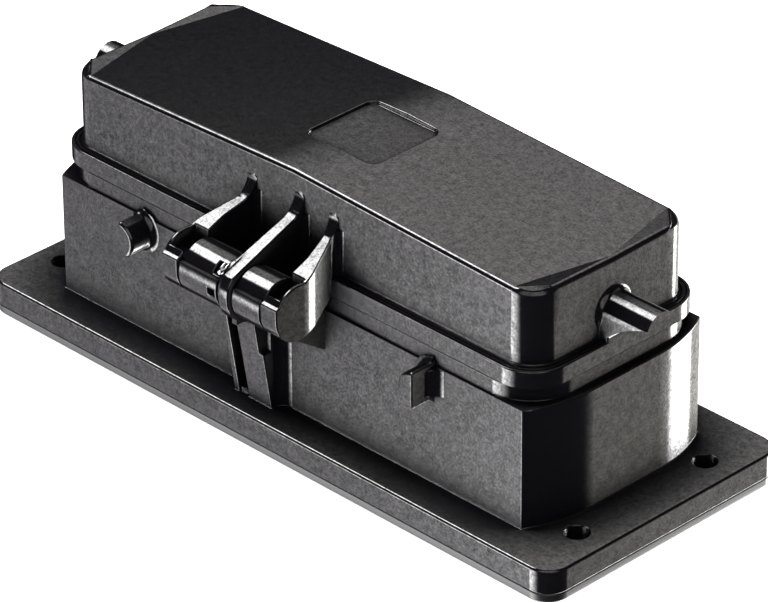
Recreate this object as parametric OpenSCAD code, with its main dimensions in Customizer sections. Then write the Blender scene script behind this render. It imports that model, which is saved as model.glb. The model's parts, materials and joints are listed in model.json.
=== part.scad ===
// Bulkhead-mounted rectangular power connector with a hinged, spring-closed cover.
// Millimetres. X runs along the connector, +Y away from the hinge, +Z out of the panel.
// The origin is the centre of the fixing-hole pattern, on the face that meets the panel.

/* [Contact insert] */
// Number of contact columns in each of the two rows
contact_columns = 12; // [4:1:16]
// Distance between neighbouring contact columns
contact_pitch = 7.3; // [7:0.1:9]
// Distance between the two contact rows
row_spacing = 13; // [12.4:0.1:13.4]
// Outer diameter of a socket contact
contact_d = 3.7; // [3.2:0.1:4]
// Bore diameter of a socket contact
contact_bore_d = 2.5; // [1.6:0.1:2.7]
// How far a contact sits below the mating face
contact_recess = 1.5; // [0.5:0.1:3]
// Insert material beyond the first and last contact column
insert_end_margin = 7.85; // [6:0.05:10]
// Width of the upper insert body, which carries the mating face
insert_top_width = 25; // [20:0.5:26]
// Height of the upper insert body above the fixing plate
insert_top_height = 12; // [9:0.5:13]
// Width of the lower insert body, which holds the terminals
insert_low_width = 28; // [27:0.5:30]
// Depth of the lower insert body below the fixing plate
insert_low_depth = 10.5; // [10:0.5:12]
// Thickness of the insert's fixing plate
insert_plate_thickness = 3; // [2:0.5:4]
// Room between the insert's fixing plate and the cavity wall
insert_gap = 0.6; // [0.3:0.1:1]

/* [Terminals] */
// Length along the connector of one terminal cage
cage_length = 5.2; // [4:0.1:5.4]
// Depth across the connector of one terminal cage
cage_depth = 8; // [6.5:0.1:8.4]
// Diameter of the wire entry in a cage
wire_bore_d = 3.6; // [2:0.1:4]
// Shank diameter of a terminal screw
terminal_screw_d = 2.6; // [2:0.1:3]
// Head diameter of a terminal screw
terminal_head_d = 4; // [3.4:0.1:4.6]
// Length of connector given to the fixing screws and the earth terminal at each end
terminal_zone = 7.8; // [7.6:0.1:12]

/* [Insert fixing] */
// Shank diameter of the insert's captive screws
fixing_screw_d = 3.2; // [2.5:0.1:3.6]
// Head diameter of the insert's captive screws
fixing_head_d = 6.2; // [5:0.1:6.4]
// Outer diameter of the threaded bush under each captive screw
bush_d = 5.2; // [4.8:0.1:6]
// Length of a threaded bush
bush_length = 8; // [5:0.5:9]
// Height of the insert seat above the panel
seat_height = 20; // [19.5:0.1:21]

/* [Housing] */
// Width of the tower across its flat sides
tower_width = 44; // [42:0.5:50]
// Height of the tower above the flange
tower_height = 23.4; // [22:0.2:30]
// Radius of the bowed part of the tower's ends
tower_end_radius = 30; // [24:1:40]
// Wall between the cavity and the crown of a bowed end
end_wall = 5.4; // [5:0.1:8]
// Wall between the cavity and a flat side
side_wall = 4; // [3.6:0.1:5]
// Corner radius of the cavity
cavity_r = 6; // [5:0.5:6.5]
// Height of the collar that stands above the tower
collar_height = 2.9; // [2:0.1:5]
// How far the collar stands in from the bowed ends
collar_inset_x = 1.9; // [1.5:0.1:2.4]
// How far the collar stands in from the flat sides
collar_inset_y = 0.7; // [0.2:0.1:1]
// Corner radius of the collar
collar_r = 9.5; // [8:0.5:10]

/* [Mounting flange] */
// Thickness of the flange
flange_thickness = 4.8; // [3:0.1:8]
// Flange ledge in front of and behind the tower
flange_ledge = 7.4; // [4:0.1:12]
// Corner radius of the flange
flange_r = 4.6; // [1.2:0.1:8]
// Distance from the crown of a bowed end to a row of fixing holes
hole_land = 3.8; // [3:0.1:8]
// Distance from a row of fixing holes to the end of the flange
flange_edge = 6.3; // [4:0.1:10]
// Spacing of the fixing holes across the connector
hole_pitch_y = 32; // [20:0.5:40]
// Diameter of a fixing hole
hole_d = 4.4; // [3.2:0.1:5.4]

/* [Seals] */
// Thickness of the seal between the flange and the panel
panel_seal_thickness = 1.7; // [1:0.1:3]
// How far the panel seal stands in from the flange's edge
panel_seal_inset = 0.1; // [0:0.1:1]
// Width of the seal in the collar's groove
rim_seal_width = 1.5; // [1:0.1:1.7]
// Depth of the seal's groove in the collar
rim_seal_groove = 1.6; // [1:0.1:2]

/* [Cover] */
// Height of the cover from its rim to the ridge
cover_height = 19.6; // [17:0.2:26]
// Thickness of the cover's rim
rim_thickness = 3.3; // [2.5:0.1:5]
// How far the rim stands in from the bowed ends of the tower
rim_inset_x = 1.4; // [0.5:0.1:2.4]
// How far the rim stands in from the flat sides of the tower
rim_inset_y = 0.4; // [0:0.1:1]
// Width of the rim's ledge around the cover
rim_ledge = 2.2; // [1.5:0.1:3]
// Corner radius of the cover
cover_r = 5.3; // [4.5:0.1:8]
// Thickness of the cover's walls
cover_wall = 2.2; // [1.6:0.1:3]
// Fall of the roof from the ridge to each end
roof_fall = 2.1; // [0.5:0.1:4]
// Tilt of the folded corner facets against the roof
facet_tilt = 5; // [2:0.5:8]
// Fall angle of the small corner flats
corner_flat_fall = 15; // [5:1:25]
// Side of the square recess in the roof
recess_side = 17; // [10:0.5:24]
// Corner radius of the recess
recess_r = 2; // [0.5:0.1:3]
// Depth of the recess below the ridge
recess_depth = 0.9; // [0.5:0.1:1.4]

/* [Locking pegs] */
// Radius of the half-round pegs
peg_radius = 3.55; // [2.5:0.05:4]
// Distance from the middle to the flat of each side peg
peg_x = 36.8; // [24:0.2:45]
// Length of the side pegs
side_peg_length = 5.4; // [3:0.2:8]
// Height of the side pegs' middle above the flange
side_peg_rise = 20.6; // [16:0.1:21]
// Length of the end pegs beyond the cover's wall
end_peg_length = 11.1; // [6:0.2:14]
// Height of the end pegs' middle above the rim
end_peg_rise = 4.6; // [3.6:0.1:6]
// Thickness of an end peg at its tip
peg_tip = 2.4; // [1.5:0.1:3.5]
// Radius of the arch under each end peg
peg_arch = 18; // [12:1:40]
// Radius of the rounding around the end of each side peg
peg_round = 0.6; // [0.2:0.1:1]
// Radius of the flare from each side peg's flat to the tower
flat_flare = 2.6; // [1:0.1:3]
// Radius of the fillet around each peg's root
peg_fillet = 1.2; // [0.5:0.1:2]

/* [Hinge] */
// Distance of the hinge axis from the tower's flat side
hinge_reach = 10.1; // [9.2:0.1:14]
// Height of the hinge axis above the cover's rim
hinge_rise = 2.2; // [1:0.1:3]
// Radius of the hinge barrel
barrel_r = 5.4; // [4.9:0.1:6]
// Depth of the step in the knuckles above the front lip
knuckle_step = 0.65; // [0.3:0.05:1]
// Height of the front lip above the hinge axis
lip_rise = 2.2; // [1.5:0.1:3]
// How far the centre arm's round end stands out of the barrel
centre_extra = 0.7; // [0.2:0.1:1]
// Half the width of the hinge, to the outer face of a cup
hinge_half_width = 14.4; // [13.5:0.1:18]
// Width of each cup on the end arms
cup_width = 4; // [3.4:0.1:4.6]
// Wall of a cup around its pocket
cup_wall = 0.8; // [0.6:0.1:1.2]
// Gap between neighbouring leaves of the hinge
leaf_gap = 0.3; // [0.2:0.05:0.5]
// Thickness of the arms where they leave the cover
arm_thickness = 2.3; // [1.8:0.1:2.8]
// Place of the centre arm's middle along the hinge
centre_arm_x = 1.75; // [1.4:0.05:2.2]
// Fall angle of the arms' top faces
arm_fall = 21.4; // [15:0.2:25]
// Radius of the fillet where an arm's top meets the cover
arm_fillet = 5; // [1:0.1:5.6]
// Radius of the blends between the arms' sides and the cover
arm_blend = 1.3; // [0.5:0.1:2]
// Diameter of the hinge pin
pin_d = 3; // [2:0.1:3.4]

/* [Hinge ribs] */
// Depth of the ribs where they meet the flange
rib_foot = 2.7; // [2:0.1:3.2]
// Lean of the ribs' fronts for each unit of height
rib_lean = 0.16; // [0.06:0.01:0.2]
// Thickness of the left rib
rib_thickness = 1.3; // [1:0.1:2]
// Place of the main rib's left face
main_rib_left = -6.4; // [-7.4:0.1:-4]
// Place of the main rib's right face
main_rib_right = -0.6; // [-1.4:0.1:-0.4]
// Height of the notch in the main rib above the flange
rib_notch_rise = 11.6; // [6:0.2:16]
// Radius of the blend from the main rib to the tower
rib_blend = 2.6; // [1:0.2:4]
// Depth of the webs under the knuckles, along the tower
web_depth = 7.8; // [5:0.2:10]

/* [Spring] */
// Wire diameter of the torsion spring
wire_d = 0.8; // [0.5:0.05:0.9]
// Mean radius of the spring's coils
coil_r = 3.1; // [2.9:0.05:3.3]

/* [Clearances] */
// Radial clearance of the hinge pin in its bores
pin_clearance = 0.05; // [0.02:0.01:0.1]
// Radial clearance of bushes, contacts and screws in their bores
seat_clearance = 0.05; // [0.02:0.01:0.1]
// Gap between the collar and the closed cover
cover_gap = 0.3; // [0.2:0.05:0.6]

/* [Hidden] */
$fn = 64;
sink = 0.01;

// Lengths, from the contacts outwards
insert_body_length = (contact_columns - 1) * contact_pitch + 2 * insert_end_margin;
cavity_length = insert_body_length + 2 * terminal_zone;
tower_length = cavity_length + 2 * end_wall;
hole_pitch_x = tower_length + 2 * hole_land;
flange_length = hole_pitch_x + 2 * flange_edge;

// Widths
cavity_width = tower_width - 2 * side_wall;
flange_width = tower_width + 2 * flange_ledge;
collar_length = tower_length - 2 * collar_inset_x;
collar_width = tower_width - 2 * collar_inset_y;
rim_length = tower_length - 2 * rim_inset_x;
rim_width = tower_width - 2 * rim_inset_y;
rim_r = cover_r + rim_ledge;
cover_length = rim_length - 2 * rim_ledge;
cover_width = rim_width - 2 * rim_ledge;
hollow_length = cover_length - 2 * cover_wall;
hollow_width = cover_width - 2 * cover_wall;
hollow_r = cover_r - cover_wall;

// Heights
flange_z = panel_seal_thickness;
flange_top = flange_z + flange_thickness;
lap = 0.5;
side_y = -tower_width / 2;
tower_top = flange_top + tower_height;
collar_top = tower_top + collar_height;
cover_z = collar_top + cover_gap;
rim_top = cover_z + rim_thickness;
ridge_z = cover_z + cover_height;
roof_angle = atan(2 * roof_fall / cover_length);
roof_end_z = ridge_z - roof_fall;
plate_top = seat_height + insert_plate_thickness;
mating_z = plate_top + insert_top_height;
insert_low_z = seat_height - insert_low_depth;

// Hinge
axis_y = -tower_width / 2 - hinge_reach;
axis_z = cover_z + hinge_rise;
cup_inner_x = hinge_half_width - cup_width;
knuckle_end_x = cup_inner_x - leaf_gap;
centre_left_x = centre_arm_x - arm_thickness / 2;
centre_right_x = centre_arm_x + arm_thickness / 2;
boss_width = 0.9;
tab_depth = 2;
tab_drop = 1.9;
left_boss_x = centre_left_x - boss_width;
turns = 2;
coil_pitch = wire_d + 0.06;
spring_zone = turns * coil_pitch + wire_d + 0.3;
left_knuckle_x = left_boss_x - leaf_gap - spring_zone;
chamber_r = coil_r + wire_d / 2 + leaf_gap;
wall_y = -cover_width / 2;
arm_root_outer_x = knuckle_end_x + 1.2;
arm_root_inner_x = arm_root_outer_x - arm_thickness;
flare_y = axis_y + 2.9;
flare_r = 9;
flare_steps = 12;
arm_rise = 4.6;
centre_arm_lift = 1.1;
arm_top_z = axis_z + arm_rise - tan(arm_fall) * (axis_y - wall_y);

// Insert fixing points and bores
fixing_x = insert_body_length / 2 + terminal_zone / 2;
fixing_y = cavity_width / 2 - 4.5;
corner_signs = [[-1, -1], [1, -1], [1, 1], [-1, 1]];
bush_bore_d = fixing_screw_d + 2 * seat_clearance;
earth_x = insert_body_length / 2 + terminal_zone / 2;

function column_x(i) = (i - (contact_columns - 1) / 2) * contact_pitch;

// Rounded rectangle with true arcs at its corners
module rounded_plan(length, width, r) {
  square([length - 2 * r, width], center = true);
  square([length, width - 2 * r], center = true);
  for (sx = [-1, 1], sy = [-1, 1])
    translate([sx * (length / 2 - r), sy * (width / 2 - r)]) circle(r);
}

module slab(length, width, r, z0, z1) {
  translate([0, 0, z0]) linear_extrude(z1 - z0) rounded_plan(length, width, r);
}

// Draws in the YZ plane and extrudes from x0 to x1
module side_slab(x0, x1) {
  translate([x0, 0, 0]) rotate([90, 0, 90]) linear_extrude(x1 - x0) children();
}

module x_cylinder(x0, x1, r) {
  translate([x0, axis_y, axis_z]) rotate([0, 90, 0]) cylinder(r = r, h = x1 - x0);
}

// Outline of the tower: flat sides that cut off a larger rounded plan with bowed ends
module tower_plan() {
  intersection() {
    rounded_plan(tower_length, 2 * tower_end_radius + 16, tower_end_radius);
    square([tower_length + 2, tower_width], center = true);
  }
}

// Half-round bar along +Z with its flat on the -X side, a rounded end and a filleted root
module half_round(length) {
  intersection() {
    rotate_extrude() {
      square([peg_radius, length - peg_round]);
      square([peg_radius - peg_round, length]);
      intersection() {
        translate([peg_radius - peg_round, length - peg_round]) circle(peg_round);
        square([peg_radius, length]);
      }
      difference() {
        square([peg_radius + peg_fillet, peg_fillet]);
        translate([peg_radius + peg_fillet, peg_fillet]) circle(peg_fillet);
      }
    }
    translate([0, -2 * peg_radius, -1]) cube([2 * peg_radius, 4 * peg_radius, length + 2]);
  }
}

// Point where a line from p touches the circle of radius r at the hinge axis
function touch(p, r, side) =
  let (d = [p[0] - axis_y, p[1] - axis_z], far = norm(d),
       a = atan2(d[1], d[0]) + side * acos(r / far))
  [axis_y + r * cos(a), axis_z + r * sin(a)];

module knuckle_profile() {
  top = [side_y + lap, tower_top - 0.6];
  low = [side_y + lap, top[1] - web_depth];
  translate([axis_y, axis_z]) {
    circle(barrel_r - knuckle_step);
    intersection() {
      circle(barrel_r);
      translate([-2 * barrel_r, -2 * barrel_r]) square([4 * barrel_r, 2 * barrel_r + lip_rise]);
    }
  }
  polygon([top, [axis_y + 0.85 * barrel_r, axis_z - barrel_r], [axis_y, axis_z],
           touch(low, barrel_r, -1), low]);
}

// Chamber around the torsion spring, open to the front through a window and a slot
module spring_chamber() {
  window = [lip_rise + 0.2, 1.8];
  slot = [-1.2, 1.4];
  margin = 0.6;
  x_cylinder(left_knuckle_x, left_boss_x - leaf_gap + 1, chamber_r);
  for (cut = [window, slot])
    translate([left_knuckle_x + margin, axis_y - 2 * barrel_r, axis_z + cut[0]])
      cube([spring_zone - (cut == slot ? 2 : 1) * margin, 2 * barrel_r, cut[1]]);
}

// Leaning front of the two ribs that carry the hinge
module rib_profile() {
  foot = [side_y - rib_foot, flange_top - lap];
  head_z = tower_top - 0.4;
  polygon([
    [side_y + lap, foot[1]], foot,
    [foot[0] - rib_lean * (head_z - foot[1]), head_z], [side_y + lap, head_z]
  ]);
}

module hinge_ribs() {
  left_rib_end = -knuckle_end_x + rib_thickness;
  notch = [1, 5.6];
  sill = 1;
  side_slab(-knuckle_end_x, left_rib_end) rib_profile();
  difference() {
    side_slab(main_rib_left, main_rib_right) rib_profile();
    translate([main_rib_right - notch[0], side_y - rib_foot - notch[1], flange_top + rib_notch_rise])
      cube([2 * notch[0], notch[1], tower_height]);
  }
  // sill that closes the pocket between the ribs at the flange
  translate([left_rib_end - lap, side_y - rib_foot + 0.3, flange_top - lap])
    cube([main_rib_left - left_rib_end + 2 * lap, rib_foot, sill + lap]);
  // concave blend from the main rib's side to the tower
  translate([main_rib_right - sink, side_y + sink, flange_top - lap])
    linear_extrude(tower_height - web_depth + 2 * lap) mirror([0, 1]) difference() {
      square([rib_blend, rib_blend]);
      translate([rib_blend, rib_blend]) circle(rib_blend);
    }
}

module side_pegs() {
  z = flange_top + side_peg_rise;
  for (side = [0, 1], end = [0, 1]) mirror([0, side, 0]) mirror([end, 0, 0]) {
    translate([-peg_x, side_y, z]) rotate([90, 0, 0]) half_round(side_peg_length);
    // flare from the flat to the tower
    translate([sink - peg_x, side_y + sink, z - 0.73 * peg_radius])
      linear_extrude(1.46 * peg_radius) mirror([1, 1]) difference() {
        square([flat_flare, flat_flare]);
        translate([flat_flare, flat_flare]) circle(flat_flare);
      }
    // carry each peg back to the collar where it rises past the tower's edge
    translate([-peg_x, side_y + side_wall / 2, z]) rotate([90, 0, 0]) intersection() {
      cylinder(r = peg_radius, h = side_wall / 2 + lap);
      translate([0, -peg_radius, -1]) cube([peg_radius, 2 * peg_radius, side_wall]);
    }
  }
}

module insert_pillars() {
  pillar_height = 10;
  reach = [cavity_length / 2 - fixing_x, cavity_width / 2 - fixing_y];
  for (s = corner_signs)
    translate([s[0] * (cavity_length / 2 - reach[0] + lap), s[1] * (cavity_width / 2 - reach[1] + lap),
               seat_height - pillar_height / 2])
      cube([2 * reach[0] + lap, 2 * reach[1] + lap, pillar_height], center = true);
}

module base_housing() {
  color("dimgray") difference() {
    union() {
      slab(flange_length, flange_width, flange_r, flange_z, flange_top);
      translate([0, 0, flange_top - 1]) linear_extrude(tower_height + 1) tower_plan();
      slab(collar_length, collar_width, collar_r, tower_top - 1, collar_top);
      side_pegs();
      hinge_ribs();
      difference() {
        for (span = [[-knuckle_end_x, left_boss_x - leaf_gap],
                     [centre_right_x + leaf_gap, knuckle_end_x]])
          side_slab(span[0], span[1]) knuckle_profile();
        spring_chamber();
      }
      // mandrel inside the torsion spring
      x_cylinder(left_knuckle_x - 1, left_boss_x - leaf_gap, coil_r - wire_d / 2 - leaf_gap);
    }
    difference() {
      slab(cavity_length, cavity_width, cavity_r, flange_z - 1, collar_top + 1);
      insert_pillars();
    }
    // groove for the rim seal
    difference() {
      slab(seal_plan(1)[0], seal_plan(1)[1], seal_plan(1)[2], collar_top - rim_seal_groove,
           collar_top + 1);
      slab(seal_plan(-1)[0], seal_plan(-1)[1], seal_plan(-1)[2],
           collar_top - rim_seal_groove - 1, collar_top + 2);
    }
    for (sx = [-1, 1], sy = [-1, 1])
      translate([sx * hole_pitch_x / 2, sy * hole_pitch_y / 2, flange_z - 1])
        cylinder(d = hole_d, h = flange_thickness + 2);
    for (s = corner_signs)
      translate([s[0] * fixing_x, s[1] * fixing_y, seat_height - bush_length])
        cylinder(d = bush_d + 2 * seat_clearance, h = bush_length + 1);
    x_cylinder(-knuckle_end_x - 1, knuckle_end_x + 1, pin_d / 2 + pin_clearance);
  }
}

// Plan of one edge of the collar's groove: outer edge for side 1, inner edge for side -1
function seal_plan(side) =
  let (middle = 0.55 * side_wall - 0.55, half = rim_seal_width / 2 + seat_clearance,
       grow = middle + side * half)
  [cavity_length + 2 * grow, cavity_width + 2 * grow, cavity_r + grow];

module rim_seal() {
  shrink = 2 * seat_clearance;
  o = seal_plan(1);
  i = seal_plan(-1);
  color("black") difference() {
    slab(o[0] - shrink, o[1] - shrink, o[2] - seat_clearance,
         collar_top - rim_seal_groove, cover_z - 0.1);
    slab(i[0] + shrink, i[1] + shrink, i[2] + seat_clearance,
         collar_top - rim_seal_groove - 1, cover_z + 1);
  }
}

module panel_seal() {
  color("black") difference() {
    slab(flange_length - 2 * panel_seal_inset, flange_width - 2 * panel_seal_inset,
         flange_r - panel_seal_inset, 0, flange_z);
    slab(cavity_length, cavity_width, cavity_r, -1, flange_z + 1);
    for (sx = [-1, 1], sy = [-1, 1])
      translate([sx * hole_pitch_x / 2, sy * hole_pitch_y / 2, -1])
        cylinder(d = hole_d, h = flange_z + 2);
  }
}

// Space under one slope of the roof, lowered by drop
module under_slope(end, drop) {
  translate([0, 0, ridge_z - drop]) rotate([0, end * roof_angle, 0])
    translate([-cover_length, -cover_width, -2 * cover_height])
      cube([2 * cover_length, 2 * cover_width, 2 * cover_height]);
}

module under_roof(drop) {
  intersection() {
    under_slope(-1, drop);
    under_slope(1, drop);
  }
}

// Wedge under the facet that folds up from the roof towards one corner of the cover
module corner_facet() {
  run = cover_r;
  rise = cover_width / 2;
  turn = atan2(rise, run);
  translate([cover_length / 2, 0, roof_end_z]) rotate([0, roof_angle, 0]) rotate([0, 0, 90 - turn])
    rotate([0, -facet_tilt, 0]) translate([0, -2 * cover_width, -2])
      cube([2 * cover_r, 4 * cover_width, 2]);
}

module corner_flat_cut() {
  corner_flat_rise = 0.26;
  translate([cover_length / 2 - cover_r / 2, cover_width / 2 - cover_r / 2, roof_end_z + corner_flat_rise])
    rotate([0, 0, 45]) rotate([0, corner_flat_fall, 0])
      translate([0, -2 * cover_r, 0]) cube([2 * cover_r, 4 * cover_r, 2]);
}

module quadrants() {
  children();
  mirror([1, 0, 0]) children();
  mirror([0, 1, 0]) children();
  mirror([1, 0, 0]) mirror([0, 1, 0]) children();
}

module cover_body() {
  difference() {
    intersection() {
      slab(cover_length, cover_width, cover_r, cover_z, ridge_z + 1);
      union() {
        under_roof(0);
        quadrants() intersection() {
          corner_facet();
          translate([cover_length / 2 - cover_r, 0, roof_end_z - 2])
            cube([cover_r + 1, cover_width / 2 + 1, 4]);
        }
      }
    }
    quadrants() corner_flat_cut();
  }
}

// Side view of an arm: sloping top, filleted root and round end, below the top face
module arm_profile(end_r, raise) {
  inside = 0.6;
  root = [wall_y + inside, cover_z];
  lug = [side_y + 1.5, cover_z];
  low = touch(lug, end_r, -1);
  slope = tan(arm_fall);
  top_at = [wall_y, arm_top_z + raise];
  front = [axis_y - end_r, top_at[1] + slope * (axis_y - end_r - wall_y)];
  t = arm_fillet / tan(45 + arm_fall / 2);
  centre = [wall_y - arm_fillet, top_at[1] + t];
  difference() {
    union() {
      translate([axis_y, axis_z]) circle(end_r);
      polygon([root, top_at + inside * [1, slope], front, [axis_y - end_r, axis_z],
               [axis_y, axis_z], low, lug]);
    }
    polygon([top_at, front + [-1, -slope], front + [-1, 20], top_at + [0, 20]]);
    difference() {
      translate([axis_y - end_r - 1, axis_z]) square([end_r + 1, end_r + 1]);
      translate([axis_y, axis_z]) circle(end_r);
    }
  }
  difference() {
    polygon([top_at + [inside, -1], top_at + [inside, t], top_at + [0, t], centre,
             top_at + t * [-cos(arm_fall), -sin(arm_fall)]]);
    translate(centre) circle(arm_fillet);
  }
}

// End arm on the +X side: straight inner face, flared outer face and a pocketed cup
module end_arm() {
  front_y = axis_y - barrel_r - 1;
  bend_y = axis_y + barrel_r + leaf_gap;
  root_y = wall_y + lap;
  pocket_front = barrel_r - 2 * cup_wall;
  // arc that rounds the bend between the flared face and the flat end of the cup
  flare_turn = atan2(hinge_half_width - arm_root_outer_x, wall_y - 2 - flare_y);
  flare_y0 = flare_y - flare_r * tan(flare_turn / 2);
  flare_arc = [for (k = [0 : flare_steps]) let (a = flare_turn * k / flare_steps)
    [hinge_half_width - flare_r * (1 - cos(a)), flare_y0 + flare_r * sin(a)]];
  difference() {
    intersection() {
      side_slab(arm_root_inner_x - 1, hinge_half_width) arm_profile(barrel_r, 0);
      translate([0, 0, cover_z - 8]) linear_extrude(cover_height + 8) polygon([
        [arm_root_inner_x, root_y], [arm_root_inner_x, wall_y], [cup_inner_x, bend_y],
        [cup_inner_x, front_y], [hinge_half_width, front_y], each flare_arc,
        [arm_root_outer_x, wall_y - 2], [arm_root_outer_x, root_y]
      ]);
    }
    // pocket, open to the top and to the knuckle
    translate([cup_inner_x - 1, axis_y - pocket_front, axis_z + lip_rise])
      cube([cup_width - cup_wall + 1, pocket_front + lip_rise, 2 * barrel_r]);
    x_cylinder(cup_inner_x - 1, hinge_half_width - cup_wall - 0.1, pin_d / 2 + pin_clearance);
  }
}

module root_blends() {
  r = arm_blend;
  for (x = [-arm_root_inner_x, centre_right_x, arm_root_outer_x])
    translate([x - sink, wall_y + sink, cover_z]) linear_extrude(arm_top_z - cover_z + 0.4)
      mirror([0, 1]) difference() {
        square([r, r]);
        translate([r, r]) circle(r);
      }
}

module centre_arm() {
  difference() {
    union() {
      side_slab(centre_left_x, centre_right_x) arm_profile(barrel_r + centre_extra, centre_arm_lift);
      x_cylinder(left_boss_x, centre_left_x + 0.2, barrel_r);
      // stop tab under the boss
      translate([left_boss_x, axis_y - tab_depth, axis_z - barrel_r - tab_drop])
        cube([boss_width + 0.2, tab_depth, barrel_r]);
    }
    x_cylinder(left_boss_x - 1, centre_right_x + 1, pin_d / 2 + pin_clearance);
  }
}

// Side view of the +X end peg: round on top is cut elsewhere, arched underneath
module end_peg_profile() {
  wall_x = cover_length / 2;
  tip_x = wall_x + end_peg_length;
  tip_z = rim_top + end_peg_rise + peg_radius - peg_tip;
  foot = [rim_length / 2, rim_top + 1];
  chord = [tip_x, tip_z] - foot;
  middle = (foot + [tip_x, tip_z]) / 2;
  drop = sqrt(peg_arch * peg_arch - norm(chord) * norm(chord) / 4);
  normal = [chord[1], -chord[0]] / norm(chord);
  difference() {
    translate([wall_x - 1, rim_top - 1])
      square([end_peg_length + 1, end_peg_rise + peg_radius + 1]);
    intersection() {
      translate(middle + drop * normal) circle(peg_arch);
      translate([foot[0], rim_top - 2]) square([end_peg_length, tip_z - rim_top + 3]);
    }
    translate([foot[0], rim_top - 2]) square([end_peg_length, 3]);
  }
}

module end_pegs() {
  z = rim_top + end_peg_rise;
  tip_x = cover_length / 2 + end_peg_length;
  for (end = [0, 1]) mirror([end, 0, 0]) {
    intersection() {
      rotate([90, 0, 0]) translate([0, 0, -peg_radius - 1])
        linear_extrude(2 * peg_radius + 2) end_peg_profile();
      union() {
        translate([0, 0, z]) rotate([0, 90, 0]) cylinder(r = peg_radius, h = tip_x);
        translate([0, -peg_radius, rim_top - 1]) cube([tip_x, 2 * peg_radius, z - rim_top + 1]);
      }
    }
    // root fillet on both sides and over the top
    translate([cover_length / 2 - sink, 0, z]) rotate([0, 90, 0]) rotate_extrude() difference() {
      square([peg_radius + peg_fillet, peg_fillet]);
      translate([peg_radius + peg_fillet, peg_fillet]) circle(peg_fillet);
    }
  }
}

module rim_grooves() {
  depth = 0.25;
  width = 0.3;
  for (inset = [rim_ledge / 4, 0.62 * rim_ledge])
    difference() {
      slab(rim_length - 2 * inset, rim_width - 2 * inset, rim_r - inset, rim_top - depth,
           rim_top + 0.01);
      slab(rim_length - 2 * (inset + width), rim_width - 2 * (inset + width),
           rim_r - inset - width, rim_top - depth - 1, rim_top + 1);
      translate([-rim_length, -peg_radius, rim_top - 1]) cube([2 * rim_length, 2 * peg_radius, 2]);
      translate([-hinge_half_width, -rim_width, rim_top - 1])
        cube([2 * hinge_half_width, rim_width, 2]);
    }
}

module cover() {
  color("dimgray") difference() {
    union() {
      cover_body();
      slab(rim_length, rim_width, rim_r, cover_z, rim_top);
      end_arm();
      mirror([1, 0, 0]) end_arm();
      centre_arm();
      root_blends();
      end_pegs();
    }
    intersection() {
      slab(hollow_length, hollow_width, hollow_r, cover_z - 1, ridge_z);
      under_roof(cover_wall);
    }
    slab(recess_side, recess_side, recess_r, ridge_z - recess_depth, ridge_z + 1);
    rim_grooves();
  }
}

module hinge_pin() {
  reach = hinge_half_width - cup_wall - 0.2;
  color("silver") x_cylinder(-reach, reach, pin_d / 2);
}

// Torsion spring: two close coils around the mandrel, one leg out through the window
rings_per_turn = 20;
wire_sides = 8;
coil_start_x = left_knuckle_x + wire_d / 2 + 0.1;
coil_start = 90;
leg_length = 4.2;

function coil_point(t) =
  let (a = coil_start + 360 * t)
  [coil_start_x + coil_pitch * t, axis_y + coil_r * cos(a), axis_z + coil_r * sin(a)];
function coil_heading(t) =
  let (a = coil_start + 360 * t, v = [coil_pitch, -2 * PI * coil_r * sin(a), 2 * PI * coil_r * cos(a)])
  v / norm(v);
spring_path = concat(
  [for (k = [0 : turns * rings_per_turn]) coil_point(k / rings_per_turn)],
  [coil_point(turns) + leg_length / 2 * coil_heading(turns),
   coil_point(turns) + leg_length * coil_heading(turns)]);
spring_heading = concat(
  [for (k = [0 : turns * rings_per_turn]) coil_heading(k / rings_per_turn)],
  [coil_heading(turns), coil_heading(turns)]);

module torsion_spring() {
  count = len(spring_path);
  points = [for (k = [0 : count - 1])
    let (h = spring_heading[k], u = [1, 0, 0] - h[0] * h, a = u / norm(u), b = cross(h, a))
    for (s = [0 : wire_sides - 1])
      spring_path[k] + wire_d / 2 * (cos(360 * s / wire_sides) * a + sin(360 * s / wire_sides) * b)];
  walls = [for (k = [0 : count - 2], s = [0 : wire_sides - 1])
    let (n = (s + 1) % wire_sides)
    [k * wire_sides + s, (k + 1) * wire_sides + s, (k + 1) * wire_sides + n, k * wire_sides + n]];
  caps = [[for (s = [0 : wire_sides - 1]) s],
          [for (s = [wire_sides - 1 : -1 : 0]) (count - 1) * wire_sides + s]];
  color("lightgray") polyhedron(points, concat(walls, caps), convexity = 10);
}

module contact_insert() {
  color("gainsboro") difference() {
    union() {
      slab(cavity_length - 2 * insert_gap, cavity_width - 2 * insert_gap, cavity_r - insert_gap,
           seat_height, plate_top);
      slab(insert_body_length, insert_top_width, 1.5, plate_top - 1, mating_z);
      slab(insert_body_length - 2, insert_low_width, 1, insert_low_z, seat_height + 1);
    }
    for (side = [-1, 1], i = [0 : contact_columns - 1])
      translate([column_x(i), 0, 0]) {
        translate([0, side * row_spacing / 2, seat_height])
          cylinder(d = contact_d + 2 * seat_clearance, h = mating_z);
        translate([-cage_length / 2 - cage_room, side > 0 ? cage_y(0) : -cage_y(1),
                   insert_low_z - 1])
          cube([cage_length + 2 * cage_room, cage_depth + 2 * cage_room,
                cage_top - insert_low_z + 1]);
        translate([0, side * (row_spacing / 2), screw_z]) rotate([side * -90, 0, 0])
          cylinder(d = terminal_head_d + 0.6, h = insert_low_width);
      }
    for (s = corner_signs)
      translate([s[0] * fixing_x, s[1] * fixing_y, seat_height - 1])
        cylinder(d = fixing_screw_d + 0.8, h = insert_plate_thickness + 2);
    for (end = [-1, 1]) translate([end * earth_x, 0, seat_height - 1])
      cylinder(d = fixing_screw_d + 2 * seat_clearance, h = insert_plate_thickness + 2);
  }
}

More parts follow.
